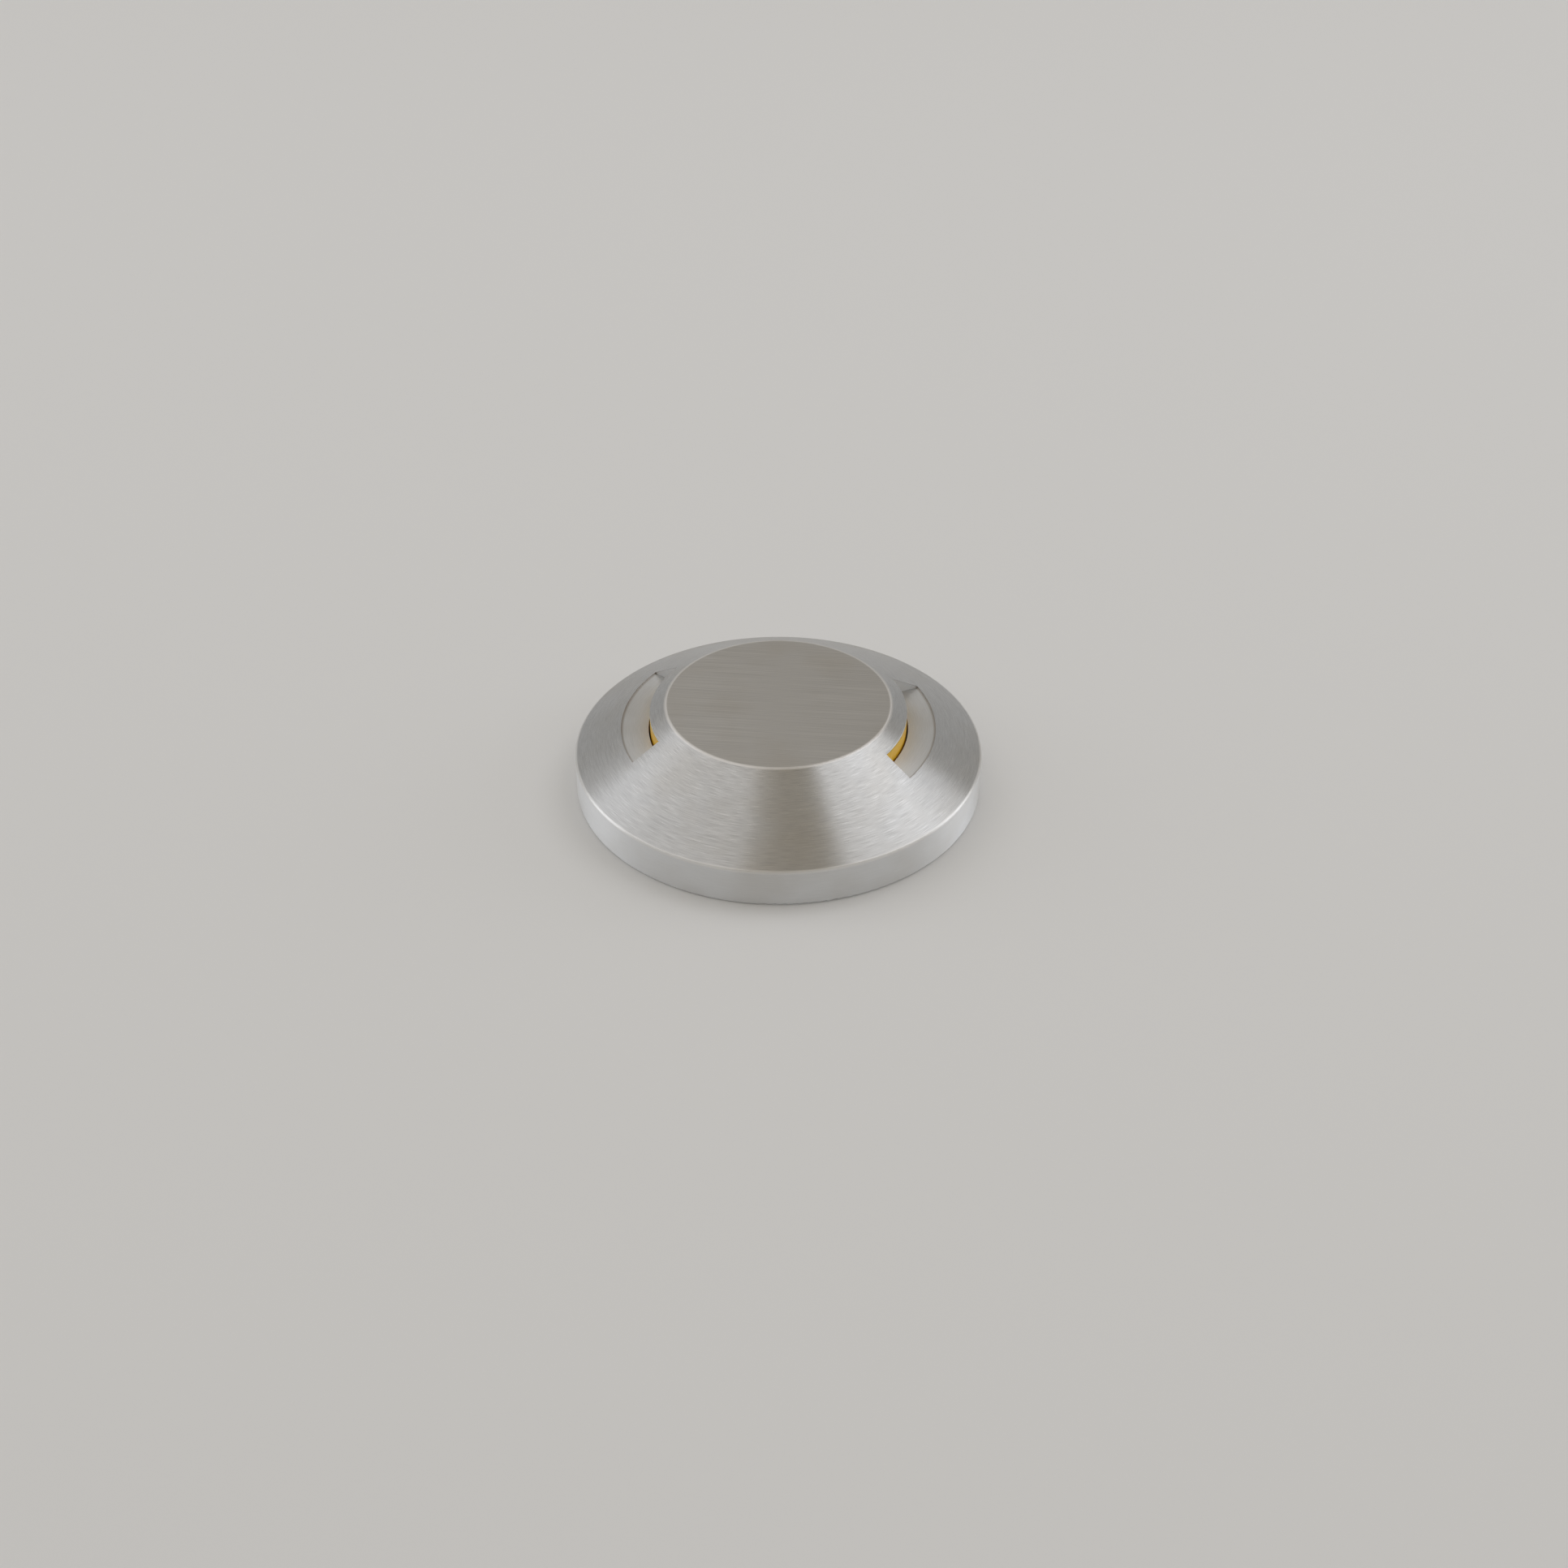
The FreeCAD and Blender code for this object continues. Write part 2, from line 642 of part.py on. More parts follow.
def make_leads(label, offset):
    """Pair of insulated leads, each from a light board down through its bush to the driver board."""
    leads = new_body(label)
    route = new_sketch(leads, "XZ_Plane", lift=f"-({offset})")
    start, level = number("board_face"), number("board_screw_level")
    far, foot, bend = number("lead_x"), number("driver_board_top"), number("lead_bend")
    across = route.addGeometry(Part.LineSegment(Vector(start, level, 0), Vector(far - bend, level, 0)), False)
    elbow = Part.Circle(Vector(far - bend, level - bend, 0), Vector(0, 0, 1), bend)
    corner = route.addGeometry(Part.ArcOfCircle(elbow, 0, math.pi / 2), False)
    down = route.addGeometry(Part.LineSegment(Vector(far, level - bend, 0), Vector(far, foot, 0)), False)
    route.addConstraint(Sketcher.Constraint("Tangent", across, 2, corner, 2))
    route.addConstraint(Sketcher.Constraint("Tangent", corner, 1, down, 1))
    route.addConstraint(Sketcher.Constraint("Horizontal", across))
    route.addConstraint(Sketcher.Constraint("Vertical", down))
    pin_point(route, across, 1, "board_face", "board_screw_level")
    pin_point(route, down, 2, "lead_x", "driver_board_top")
    rule = route.addConstraint(Sketcher.Constraint("Radius", corner, bend))
    route.setExpression(f"Constraints[{rule}]", formula("lead_bend"))
    section = new_sketch(leads, "YZ_Plane", lift="board_face")
    draw_circle(section, offset, "board_screw_level", "lead_radius")
    doc.recompute()
    pipe = leads.newObject("PartDesign::AdditivePipe", f"{label}_pipe")
    pipe.Profile = section
    pipe.Spine = (route, ["Edge1", "Edge2", "Edge3"])
    ringed(leads, [pipe], PAIR)


def make_driver_board():
    """Round driver board hung under the carrier on threaded spacers."""
    board = new_body("driver_board")
    turned(board, rectangle("0", "driver_board_radius", "driver_board_under", "driver_board_top"))
    hole = turned(board, rectangle("0", "small_screw_radius + screw_clearance", "driver_board_under",
                                   "driver_board_top"),
                  axis="standoff_circle", turn="standoff_angle", cut=True)
    ringed(board, [hole], "standoff_count")
    spacers = new_body("standoffs")
    middle = ("standoff_circle * cos(standoff_angle)", "standoff_circle * sin(standoff_angle)")
    column = grown(spacers, "driver_board_top", "flange_top", loops=[hexagon(*middle, "standoff_across")])
    stud = turned(spacers, rectangle("0", "small_screw_radius", "flange_top", "carrier_top - stud_recess"),
                  axis="standoff_circle", turn="standoff_angle")
    bore = turned(spacers, rectangle("0", "small_screw_radius + thread_gap", "driver_board_top",
                                     "driver_board_top + driver_screw_grip + tip_room"),
                  axis="standoff_circle", turn="standoff_angle", cut=True)
    ringed(spacers, [column, stud, bore], "standoff_count")
    screws = new_body("driver_screws")
    screw = turned(screws, [
        ("0", "driver_board_under - small_head_height"),
        ("small_head_radius", "driver_board_under - small_head_height"),
        ("small_head_radius", "driver_board_under"),
        ("small_screw_radius", "driver_board_under"),
        ("small_screw_radius", "driver_board_top + driver_screw_grip"),
        ("0", "driver_board_top + driver_screw_grip"),
    ], axis="standoff_circle", turn="standoff_angle")
    ringed(screws, [screw], "standoff_count")


def make_passives():
    """Smoothing capacitor and choke under the driver board."""
    capacitor = new_body("smoothing_capacitor")
    turned(capacitor, [
        ("0", "-capacitor_height"),
        ("capacitor_radius", "-capacitor_height"),
        ("capacitor_radius", "-2 * capacitor_crimp_height"),
        ("capacitor_radius - capacitor_crimp", "-1.5 * capacitor_crimp_height"),
        ("capacitor_radius", "-capacitor_crimp_height"),
        ("capacitor_radius", "0"),
        ("0", "0"),
    ])
    rounded(capacitor, "capacitor_crimp", [("capacitor_radius", "-capacitor_height")])
    placed(capacitor, "capacitor_x", "capacitor_y", "driver_board_under")
    choke = new_body("choke")
    edge, nick = "choke_width / 2", "(choke_width / 2 - choke_corner)"
    block = [(edge, f"-{nick}"), (edge, nick), (nick, edge), (f"-{nick}", edge),
             (f"-{edge}", nick), (f"-{edge}", f"-{nick}"), (f"-{nick}", f"-{edge}"), (nick, f"-{edge}")]
    grown(choke, "-choke_height", "0", loops=[block])
    turned(choke, rectangle("choke_core_radius - choke_core_sink", "choke_core_radius",
                            "-choke_height", "-choke_height + choke_core_sink"), cut=True)
    placed(choke, "choke_x", "choke_y", "driver_board_under")


def make_package(label, width, length, rows, pitch, x, y):
    """Flat moulded component with legs along its two long sides."""
    package = new_body(label)
    reach = f"{width} / 2 + leg_reach"
    legs = []
    for index in range(rows):
        middle = f"{pitch} * {index - (rows - 1) / 2}"
        legs.append(rectangle(f"-({reach})", reach,
                              f"{middle} - leg_width / 2", f"{middle} + leg_width / 2"))
    grown(package, "-package_height", "-leg_thickness",
          loops=[rectangle(f"-{width} / 2", f"{width} / 2", f"-{length} / 2", f"{length} / 2")])
    grown(package, "-2 * leg_thickness", "0", loops=legs)
    placed(package, x, y, "driver_board_under")


def make_terminal():
    """Two-way supply terminal with wire entries facing the gland, and its clamp screws."""
    terminal = new_body("supply_terminal")
    sides = rectangle("-terminal_length / 2", "terminal_length / 2",
                      "-terminal_width / 2", "terminal_width / 2")
    grown(terminal, "terminal_low", "0", loops=[sides])
    ways = ("terminal_pitch / 2", "-terminal_pitch / 2")
    sunk(terminal, "terminal_low", "terminal_low + terminal_entry_depth",
         circles=[(way, "0", "terminal_entry_radius") for way in ways])
    well_depth = "terminal_screw_sink + terminal_screw_length"
    sunk(terminal, f"terminal_width / 2 - ({well_depth})", "terminal_width / 2",
         circles=[(way, "-terminal_screw_drop", "terminal_screw_radius + fit_gap") for way in ways],
         plane="XZ_Plane")
    placed(terminal, "0", "terminal_y", "driver_board_under")
    screws = new_body("terminal_screws")
    grown(screws, f"terminal_width / 2 - ({well_depth})", "terminal_width / 2 - terminal_screw_sink",
          circles=[(way, "-terminal_screw_drop", "terminal_screw_radius") for way in ways], plane="XZ_Plane")
    placed(screws, "0", "terminal_y", "driver_board_under")


def make_can():
    """Flanged can, with a groove for the carrier's seal, two grip grooves and countersunk holes."""
    can = new_body("housing_can")
    turned(can, [
        ("gland_hole", "can_bottom"),
        ("can_radius", "can_bottom"),
        ("can_radius", "gasket_thickness"),
        ("flange_radius", "gasket_thickness"),
        ("flange_radius", "flange_top"),
        ("can_bore", "flange_top"),
        ("can_bore", "can_floor_level"),
        ("gland_hole", "can_floor_level"),
    ])
    turned(can, rectangle("carrier_seal_radius - seal_half_width", "carrier_seal_radius + seal_half_width",
                          "flange_top - seal_depth", "flange_top"), cut=True)
    middle = "-grip_upper_depth"
    groove = turned(can, rectangle("grip_floor", "can_radius", f"{middle} - grip_half_width",
                                   f"{middle} + grip_half_width"), cut=True)
    lined(can, [groove], "Z_Axis", PAIR, "grip_pitch", backwards=True)
    hole, sink = "cap_screw_radius + screw_clearance", "cap_screw_head_radius + seal_gap"
    countersink = turned(can, [
        ("0", "gasket_thickness"),
        (f"{sink} + cap_screw_sink", "gasket_thickness"),
        (hole, f"cap_head_level + {sink} - ({hole})"),
        (hole, "flange_top"),
        ("0", "flange_top"),
    ], axis="cap_screw_circle", turn="cap_screw_angle", cut=True)
    ringed(can, [countersink], "cap_screw_count")
    reach = "grip_floor + seal_gap + grip_section / 2"
    seal_ring("grip_ring_upper", reach, "grip_section", middle)
    seal_ring("grip_ring_lower", reach, "grip_section", f"{middle} - grip_pitch")


def make_cap_screws():
    """Countersunk screws up through the flange into the cap."""
    screws = new_body("cap_screws")
    screw = turned(screws, [
        ("0", "cap_head_level"),
        ("cap_screw_head_radius", "cap_head_level"),
        ("cap_screw_radius", "cap_head_top"),
        ("cap_screw_radius", "cap_screw_top"),
        ("0", "cap_screw_top"),
    ], axis="cap_screw_circle", turn="cap_screw_angle")
    middle = ("cap_screw_circle * cos(cap_screw_angle)", "cap_screw_circle * sin(cap_screw_angle)")
    socket = sunk(screws, "cap_head_level", "cap_head_level + cap_screw_socket_depth",
                  loops=[hexagon(*middle, "cap_screw_socket")])
    ringed(screws, [screw, socket], "cap_screw_count")


def make_gland():
    """Cable gland through the can's floor: body, washer, locknut, rubber insert and dome nut."""
    core = new_body("gland_body")
    turned(core, [
        ("insert_radius + fit_gap", "collar_end"),
        ("gland_collar_radius", "collar_end"),
        ("gland_collar_radius", "hex_top"),
        ("gland_thread_radius", "hex_top"),
        ("gland_thread_radius", "stub_top"),
        ("gland_bore", "stub_top"),
        ("gland_bore", "insert_top"),
        ("insert_radius + fit_gap", "insert_top"),
    ])
    grown(core, "hex_bottom", "hex_top", loops=[hexagon("0", "0", "gland_across")],
          circles=[("0", "0", "(gland_bore + gland_collar_radius) / 2")])
    washer = new_body("gland_washer")
    turned(washer, rectangle("gland_hole", "gland_hole + gland_washer_width", "hex_top", "can_bottom"))
    locknut = new_body("gland_locknut")
    grown(locknut, "can_floor_level", "can_floor_level + gland_locknut_height",
          loops=[hexagon("0", "0", "gland_across")], circles=[("0", "0", "gland_thread_radius + thread_gap")])
    insert = new_body("gland_insert")
    turned(insert, rectangle("cable_radius", "insert_radius",
                             "dome_shelf + seal_gap", "insert_top - seal_gap"))
    dome = new_body("gland_dome_nut")
    turned(dome, [
        ("dome_bore", "dome_top"),
        ("dome_radius", "dome_top"),
        ("dome_radius", "dome_end + dome_nose_length"),
        ("cable_mouth + dome_nose_width", "dome_end"),
        ("cable_mouth", "dome_end"),
        ("cable_mouth", "dome_shelf"),
        ("dome_bore", "dome_shelf"),
    ])
    grown(dome, "dome_top - dome_hex_height", "dome_top", loops=[hexagon("0", "0", "gland_across")],
          circles=[("0", "0", "dome_bore + dome_skin / 2")])


def check_and_write():
    """Stop on any failed object, then write each piece to its own file."""
    doc.recompute()
    failed = [item.Label for item in doc.Objects if {"Invalid", "Error"} & set(item.State)]
    pieces = [item for item in doc.Objects if item.TypeId in ("PartDesign::Body", "Part::Torus")]
    failed += [item.Label for item in pieces if item.Shape.isNull() or not item.Shape.isValid()]
    if failed:
        raise RuntimeError("failed: " + ", ".join(failed))
    os.makedirs("parts", exist_ok=True)
    for item in pieces:
        item.Shape.exportStep(f"parts/{item.Label}.step")


fill_sheet()
make_sleeve()
make_gasket()
make_cap()
make_lens()
make_carrier()
make_post()
make_light_board("right", 0)
make_light_board("left", 180)
make_board_screws()
make_leads("live_leads", "lead_spacing / 2")
make_leads("return_leads", "-lead_spacing / 2")
make_driver_board()
make_passives()
make_package("bridge_rectifier", "rectifier_width", "rectifier_length", 2, "rectifier_width", "rectifier_x",
             "rectifier_y")
make_package("driver_chip", "chip_width", "chip_length", 4, "chip_leg_pitch", "chip_x", "chip_y")
make_terminal()
make_can()
make_cap_screws()
make_gland()
check_and_write()
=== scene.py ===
"""Looks of the two-way path indicator light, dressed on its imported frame.

Lengths in fields are in millimetres, except those of the lamps, which are in metres.
"""
import logging
import math
from dataclasses import dataclass
from enum import Enum
from typing import Any, ClassVar, Optional, Protocol, Union

import bmesh
import bpy
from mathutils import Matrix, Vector


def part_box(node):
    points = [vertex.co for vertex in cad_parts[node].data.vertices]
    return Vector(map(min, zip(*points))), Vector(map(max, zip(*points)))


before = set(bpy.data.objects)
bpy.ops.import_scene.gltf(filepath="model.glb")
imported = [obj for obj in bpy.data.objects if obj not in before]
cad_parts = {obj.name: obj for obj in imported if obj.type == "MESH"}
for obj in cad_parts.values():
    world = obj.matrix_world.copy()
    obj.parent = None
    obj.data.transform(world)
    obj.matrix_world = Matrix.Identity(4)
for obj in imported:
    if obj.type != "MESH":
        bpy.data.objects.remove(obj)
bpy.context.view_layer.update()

log = logging.getLogger("path_light")

Colour = tuple[float, float, float, float]
Inputs = dict[Union[str, int], Any]
Socket = bpy.types.NodeSocket

MM_PER_METRE = 1000.0
NOISE_MEAN = 0.5


def linear(code: str) -> Colour:
    """Turn an sRGB hex colour into linear light.

    Args:
        code: Six hex digits after a hash.

    Returns:
        Linear red, green and blue with an alpha of one.
    """
    parts = [int(code[i:i + 2], 16) / 255 for i in (1, 3, 5)]
    light = [c / 12.92 if c <= 0.04045 else ((c + 0.055) / 1.055) ** 2.4 for c in parts]
    return (light[0], light[1], light[2], 1.0)


def metres(millimetres: float) -> float:
    """Turn millimetres into metres."""
    return millimetres / MM_PER_METRE


class Graph:
    """Node graph of one material or world."""

    def __init__(self, owner: Union[bpy.types.Material, bpy.types.World]) -> None:
        """Start with an empty graph.

        Args:
            owner: Material or world that the graph belongs to.
        """
        owner.use_nodes = True
        self.owner = owner
        self.tree = owner.node_tree
        self.tree.nodes.clear()

    def add(self, kind: str, inputs: Optional[Inputs] = None, **settings: Any) -> bpy.types.Node:
        """Add a node with its settings and links.

        Args:
            kind: Node type.
            inputs: Sockets by name, or by index where names repeat, each with a value or a node's output.
            settings: Properties of the node.

        Returns:
            The new node.
        """
        node = self.tree.nodes.new(f"ShaderNode{kind}")
        for name, value in settings.items():
            setattr(node, name, value)
        for key, value in (inputs or {}).items():
            if isinstance(value, Socket):
                self.tree.links.new(value, node.inputs[key])
            else:
                node.inputs[key].default_value = value
        return node

    def close(self, surface: Socket) -> Any:
        """Send a shader to the output and hand the owner over.

        Args:
            surface: Shader output of the last node.

        Returns:
            The finished material or world.
        """
        world = isinstance(self.owner, bpy.types.World)
        self.add("OutputWorld" if world else "OutputMaterial", {"Surface": surface})
        return self.owner


@dataclass(frozen=True)
class Spot:
    """Where a shaded point lies, in the object's own axes."""

    # Sine of the largest sideways tilt that is taken for a fault of the mesh.
    SEAM_TILT: ClassVar[float] = 0.3
    UP: ClassVar[tuple[float, float, float]] = (0.0, 0.0, 1.0)

    place: Socket
    z: Socket
    reach: Socket
    around: Socket

    @classmethod
    def of(cls, g: Graph) -> "Spot":
        """Measure the shaded point.

        Args:
            g: Graph to add to.

        Returns:
            The point, its height, its distance from the Z axis and its direction from there.
        """
        place = g.add("TexCoord").outputs["Object"]
        axes = g.add("SeparateXYZ", {0: place}).outputs
        flat = g.add("CombineXYZ", {"X": axes["X"], "Y": axes["Y"]}).outputs[0]
        reach = g.add("VectorMath", {0: flat}, operation="LENGTH").outputs["Value"]
        around = g.add("VectorMath", {0: flat}, operation="NORMALIZE").outputs[0]
        return cls(place, axes["Z"], reach, around)

    def turned_normal(self, g: Graph) -> Socket:
        """Take out the small sideways tilt of the mesh's normal, which shows as a seam on a turned body.

        Args:
            g: Graph to add to.

        Returns:
            The normal, in the plane through the Z axis except on faces that cross that plane.
        """
        raw = g.add("NewGeometry").outputs["Normal"]
        normal = g.add("VectorTransform", {0: raw}, vector_type="NORMAL", convert_from="WORLD",
                       convert_to="OBJECT").outputs[0]
        side = g.add("VectorMath", {0: self.UP, 1: self.around}, operation="CROSS_PRODUCT").outputs[0]
        tilt = g.add("VectorMath", {0: normal, 1: side}, operation="DOT_PRODUCT").outputs["Value"]
        small = g.add("Math", {0: tilt, 1: 0.0, 2: self.SEAM_TILT}, operation="COMPARE").outputs[0]
        tilt = g.add("Math", {0: tilt, 1: small}, operation="MULTIPLY").outputs[0]
        side = g.add("VectorMath", {0: side, 3: tilt}, operation="SCALE").outputs[0]
        normal = g.add("VectorMath", {0: normal, 1: side}, operation="SUBTRACT").outputs[0]
        normal = g.add("VectorMath", {0: normal}, operation="NORMALIZE").outputs[0]
        return g.add("VectorTransform", {0: normal}, vector_type="NORMAL", convert_from="OBJECT",
                     convert_to="WORLD").outputs[0]


class Finish(Protocol):
    """Anything that builds one named material."""

    name: str

    def build(self) -> bpy.types.Material:
        """Build the material."""


class Zone(Enum):
    """Faces of the cap that look different, and bands of painted highlight and painted shade."""

    BEVEL = "bevel"
    RECESS = "recess"
    RECESS_EDGE_SHADE = "corner"
    TOP = "top"
    SKIRT = "skirt"
    TOP_RIM_HIGHLIGHT = "top rim"
    SKIRT_RIM_HIGHLIGHT = "skirt rim"


@dataclass(frozen=True)
class ZoneLook:
    """Tone, gloss and depth of brushing of one zone."""

    zone: Zone
    colour: str
    roughness: float
    brushing: float


@dataclass(frozen=True)
class CapOutline:
    """Sizes, in millimetres and degrees, that tell the cap's faces apart."""

    radius: float
    height: float
    top_radius: float
    skirt_height: float
    recess_reach: float
    bevel_angle: float


@dataclass(frozen=True)
class ZoneEdges:
    """Widths in millimetres at which one face of the cap passes into the next."""

    recess_depth: tuple[float, float] = (0.03, 0.06)
    recess_margin: float = 0.2
    # Half the width of the band of painted shade along the recess floor's outer edge.
    corner: float = 0.4
    top: float = 0.05
    skirt_inset: float = 1.0
    skirt_fade: float = 0.1
    # Half the width of each rim's band of painted highlight, across the radius and along the height.
    top_rim_highlight: tuple[float, float] = (0.3, 0.25)
    skirt_rim_highlight: tuple[float, float] = (0.4, 0.3)


@dataclass(frozen=True)
class BrushedStainless:
    """Stainless steel, turned and then brushed: in rings on the bevel, in straight lines on the top.

    Fine scratches that all run one way draw each light out into a streak across them, so the
    bevel shows soft bright and dark sectors while the flat top stays even. The rims carry a
    painted highlight, a band of painted shade runs along the outer edge of the recess floor,
    and the recess floor is lighter than the bevel, painted light against the shade there.
    """

    name: str
    cap: CapOutline
    edges: ZoneEdges = ZoneEdges()
    # Width and length. Real scratches are near 0.05 mm wide; they are drawn wider so that they show.
    ring_scratch: tuple[float, float] = (0.09, 3.0)
    top_scratch: tuple[float, float] = (0.1, 18.0)
    scratch_detail: float = 2.0
    scratch_decay: float = 0.6
    scratch_shade: float = 0.8
    scratch_gloss: float = -0.15
    scratch_relief: float = 0.05
    scratch_depth: float = 0.05
    anisotropy: float = 0.85
    # A quarter turn draws the streaks across the scratches.
    streak_turn: float = 0.25
    top_lay: tuple[float, float, float] = (1.0, 0.0, 0.0)
    bevel: ZoneLook = ZoneLook(Zone.BEVEL, "#c4c4c4", 0.3, 1.0)
    others: tuple[ZoneLook, ...] = (
        # The recess floor is lighter than the bevel's steel: painted light against the shade in the recess.
        ZoneLook(Zone.RECESS, "#e2e3e4", 0.5, 0.28),
        # A darker, rougher band on the recess floor's outer edge: painted shade.
        ZoneLook(Zone.RECESS_EDGE_SHADE, "#cecbc8", 0.6, 0.16),
        ZoneLook(Zone.TOP, "#c5c3c0", 0.36, 0.85),
        ZoneLook(Zone.SKIRT, "#ecedee", 0.55, 0.12),
        # Lighter, glossier bands on the two rims: painted highlights.
        ZoneLook(Zone.TOP_RIM_HIGHLIGHT, "#e2e0de", 0.38, 0.25),
        ZoneLook(Zone.SKIRT_RIM_HIGHLIGHT, "#ecebea", 0.4, 0.25),
    )
    stain: str = "#a89a80"
    stain_size: float = 9.0
    stain_span: tuple[float, float] = (0.45, 0.75)
    stain_share: float = 0.15

    def build(self) -> bpy.types.Material:
        """Build the material.

        Returns:
            Node material for the whole cap.
        """
        g = Graph(bpy.data.materials.new(self.name))
        spot = Spot.of(g)
        masks = self.zone_masks(g, spot)
        colour: Any = linear(self.bevel.colour)
        rough: Any = self.bevel.roughness
        depth: Any = self.bevel.brushing
        for look in self.others:
            mask = masks[look.zone]
            colour = g.add("Mix", {0: mask, 6: colour, 7: linear(look.colour)},
                           data_type="RGBA").outputs[2]
            rough = g.add("Mix", {0: mask, 2: rough, 3: look.roughness}).outputs[0]
            depth = g.add("Mix", {0: mask, 2: depth, 3: look.brushing}).outputs[0]
        stain = g.add("TexNoise", {"Vector": spot.place, "Scale": 1 / metres(self.stain_size)}).outputs[0]
        clean, full = self.stain_span
        stain = g.add("MapRange", {0: stain, 1: clean, 2: full, 3: 0.0, 4: self.stain_share}).outputs[0]
        colour = g.add("Mix", {0: stain, 6: colour, 7: linear(self.stain)}, data_type="RGBA").outputs[2]
        lines = self.scratches(g, spot, masks[Zone.TOP])
        lines = g.add("Math", {0: lines, 1: NOISE_MEAN}, operation="SUBTRACT").outputs[0]
        lines = g.add("Math", {0: lines, 1: depth}, operation="MULTIPLY").outputs[0]
        shade = g.add("Math", {0: lines, 1: self.scratch_shade, 2: 1.0},
                      operation="MULTIPLY_ADD").outputs[0]
        colour = g.add("VectorMath", {0: colour, 3: shade}, operation="SCALE").outputs[0]
        rough = g.add("Math", {0: lines, 1: self.scratch_gloss, 2: rough},
                      operation="MULTIPLY_ADD").outputs[0]
        relief = g.add("Bump", {
            "Strength": self.scratch_relief, "Distance": metres(self.scratch_depth), "Height": lines,
            "Normal": spot.turned_normal(g)}).outputs[0]
        ring = g.add("Tangent", direction_type="RADIAL", axis="Z").outputs[0]
        line = g.add("VectorTransform", {0: self.top_lay}, vector_type="VECTOR", convert_from="OBJECT",
                     convert_to="WORLD").outputs[0]
        lay = g.add("Mix", {0: masks[Zone.TOP], 4: ring, 5: line}, data_type="VECTOR").outputs[1]
        steel = g.add("BsdfPrincipled", {
            "Base Color": colour, "Metallic": 1.0, "Roughness": rough, "Anisotropic": self.anisotropy,
            "Anisotropic Rotation": self.streak_turn, "Normal": relief, "Tangent": lay})
        return g.close(steel.outputs[0])

    def band(self, g: Graph, measure: Socket, middle: float, half: float) -> Socket:
        """Mask the places where a measure lies in a band.

        Args:
            g: Graph to add to.
            measure: The measure in metres.
            middle: Middle of the band in millimetres.
            half: Half the band's width in millimetres.

        Returns:
            One in the inner half of the band, falling to zero at its limits.
        """
        gap = g.add("Math", {0: measure, 1: metres(middle)}, operation="SUBTRACT").outputs[0]
        gap = g.add("Math", {0: gap}, operation="ABSOLUTE").outputs[0]
        return g.add("MapRange", {0: gap, 1: metres(half), 2: metres(half / 2)}).outputs[0]

    def zone_masks(self, g: Graph, spot: Spot) -> dict[Zone, Socket]:
        """Tell the zones apart by height, radius and depth below the bevel.

        Args:
            g: Graph to add to.
            spot: The shaded point.

        Returns:
            A mask from zero to one for each zone but the bevel.
        """
        cap, edges = self.cap, self.edges
        slope = math.tan(math.radians(cap.bevel_angle))
        crest = metres(cap.skirt_height + cap.radius * slope)
        bevel_z = g.add("Math", {0: spot.reach, 1: -slope, 2: crest}, operation="MULTIPLY_ADD").outputs[0]
        depth = g.add("Math", {0: bevel_z, 1: spot.z}, operation="SUBTRACT").outputs[0]
        level, sunken = (metres(value) for value in edges.recess_depth)
        sunk = g.add("MapRange", {0: depth, 1: level, 2: sunken}).outputs[0]
        recess_limit = metres(cap.recess_reach + edges.recess_margin)
        near = g.add("Math", {0: spot.reach, 1: recess_limit}, operation="LESS_THAN").outputs[0]
        skirt_limit = metres(cap.radius - edges.skirt_inset)
        outside = g.add("Math", {0: spot.reach, 1: skirt_limit}, operation="GREATER_THAN").outputs[0]
        skirt_top, skirt_full = metres(cap.skirt_height), metres(cap.skirt_height - edges.skirt_fade)
        under = g.add("MapRange", {0: spot.z, 1: skirt_top, 2: skirt_full}).outputs[0]
        # Band of painted shade along the recess floor's outer edge.
        corner = self.band(g, spot.reach, cap.recess_reach, edges.corner)
        top_across, top_along = edges.top_rim_highlight
        skirt_across, skirt_along = edges.skirt_rim_highlight
        pairs = {
            Zone.RECESS: (sunk, near),
            Zone.RECESS_EDGE_SHADE: (sunk, corner),
            Zone.SKIRT: (outside, under),
            # Bands of painted highlight on the top's rim and the skirt's rim.
            Zone.TOP_RIM_HIGHLIGHT: (self.band(g, spot.reach, cap.top_radius, top_across),
                           self.band(g, spot.z, cap.height, top_along)),
            Zone.SKIRT_RIM_HIGHLIGHT: (self.band(g, spot.reach, cap.radius, skirt_across),
                             self.band(g, spot.z, cap.skirt_height, skirt_along)),
        }
        masks = {zone: g.add("Math", {0: first, 1: second}, operation="MULTIPLY").outputs[0]
                 for zone, (first, second) in pairs.items()}
        masks[Zone.TOP] = self.band(g, spot.z, cap.height, edges.top)
        return masks

